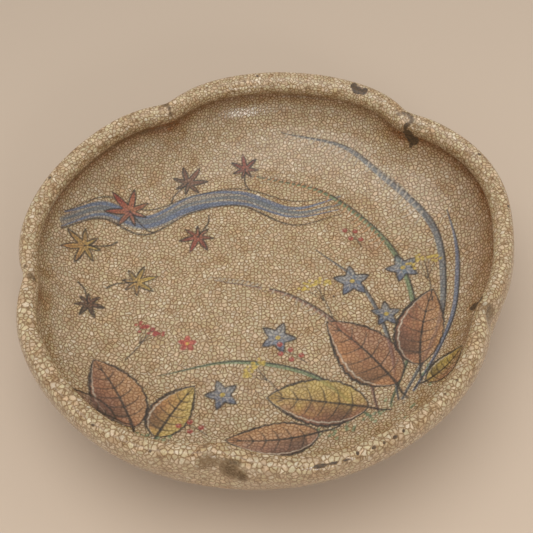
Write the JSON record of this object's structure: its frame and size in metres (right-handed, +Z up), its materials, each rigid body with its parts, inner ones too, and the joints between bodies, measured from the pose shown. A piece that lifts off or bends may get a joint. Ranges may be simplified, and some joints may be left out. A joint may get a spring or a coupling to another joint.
{
  "type": "scalloped dish",
  "caption": "Low round stoneware dish with a lobed, curled-in rim, thumb-pressed notches, a crackled glaze and a foot ring.",
  "frame": {"origin": "centre of the bounding box's bottom face, on the plane that the foot ring stands on", "axes": "+Z up out of the dish's mouth, +X to the right and +Y away from the viewer in the usual front view"},
  "size_m": [0.2402, 0.2384, 0.054],
  "materials": {
    "crackle_glaze": "glossy pale buff glaze with a fine brown crackle",
    "bare_clay": "unglazed, slightly rough fired stoneware"
  },
  "bodies": {
    "root": {"dish_body": "crackle_glaze", "foot_ring": "bare_clay"}
  },
  "joints": []
}
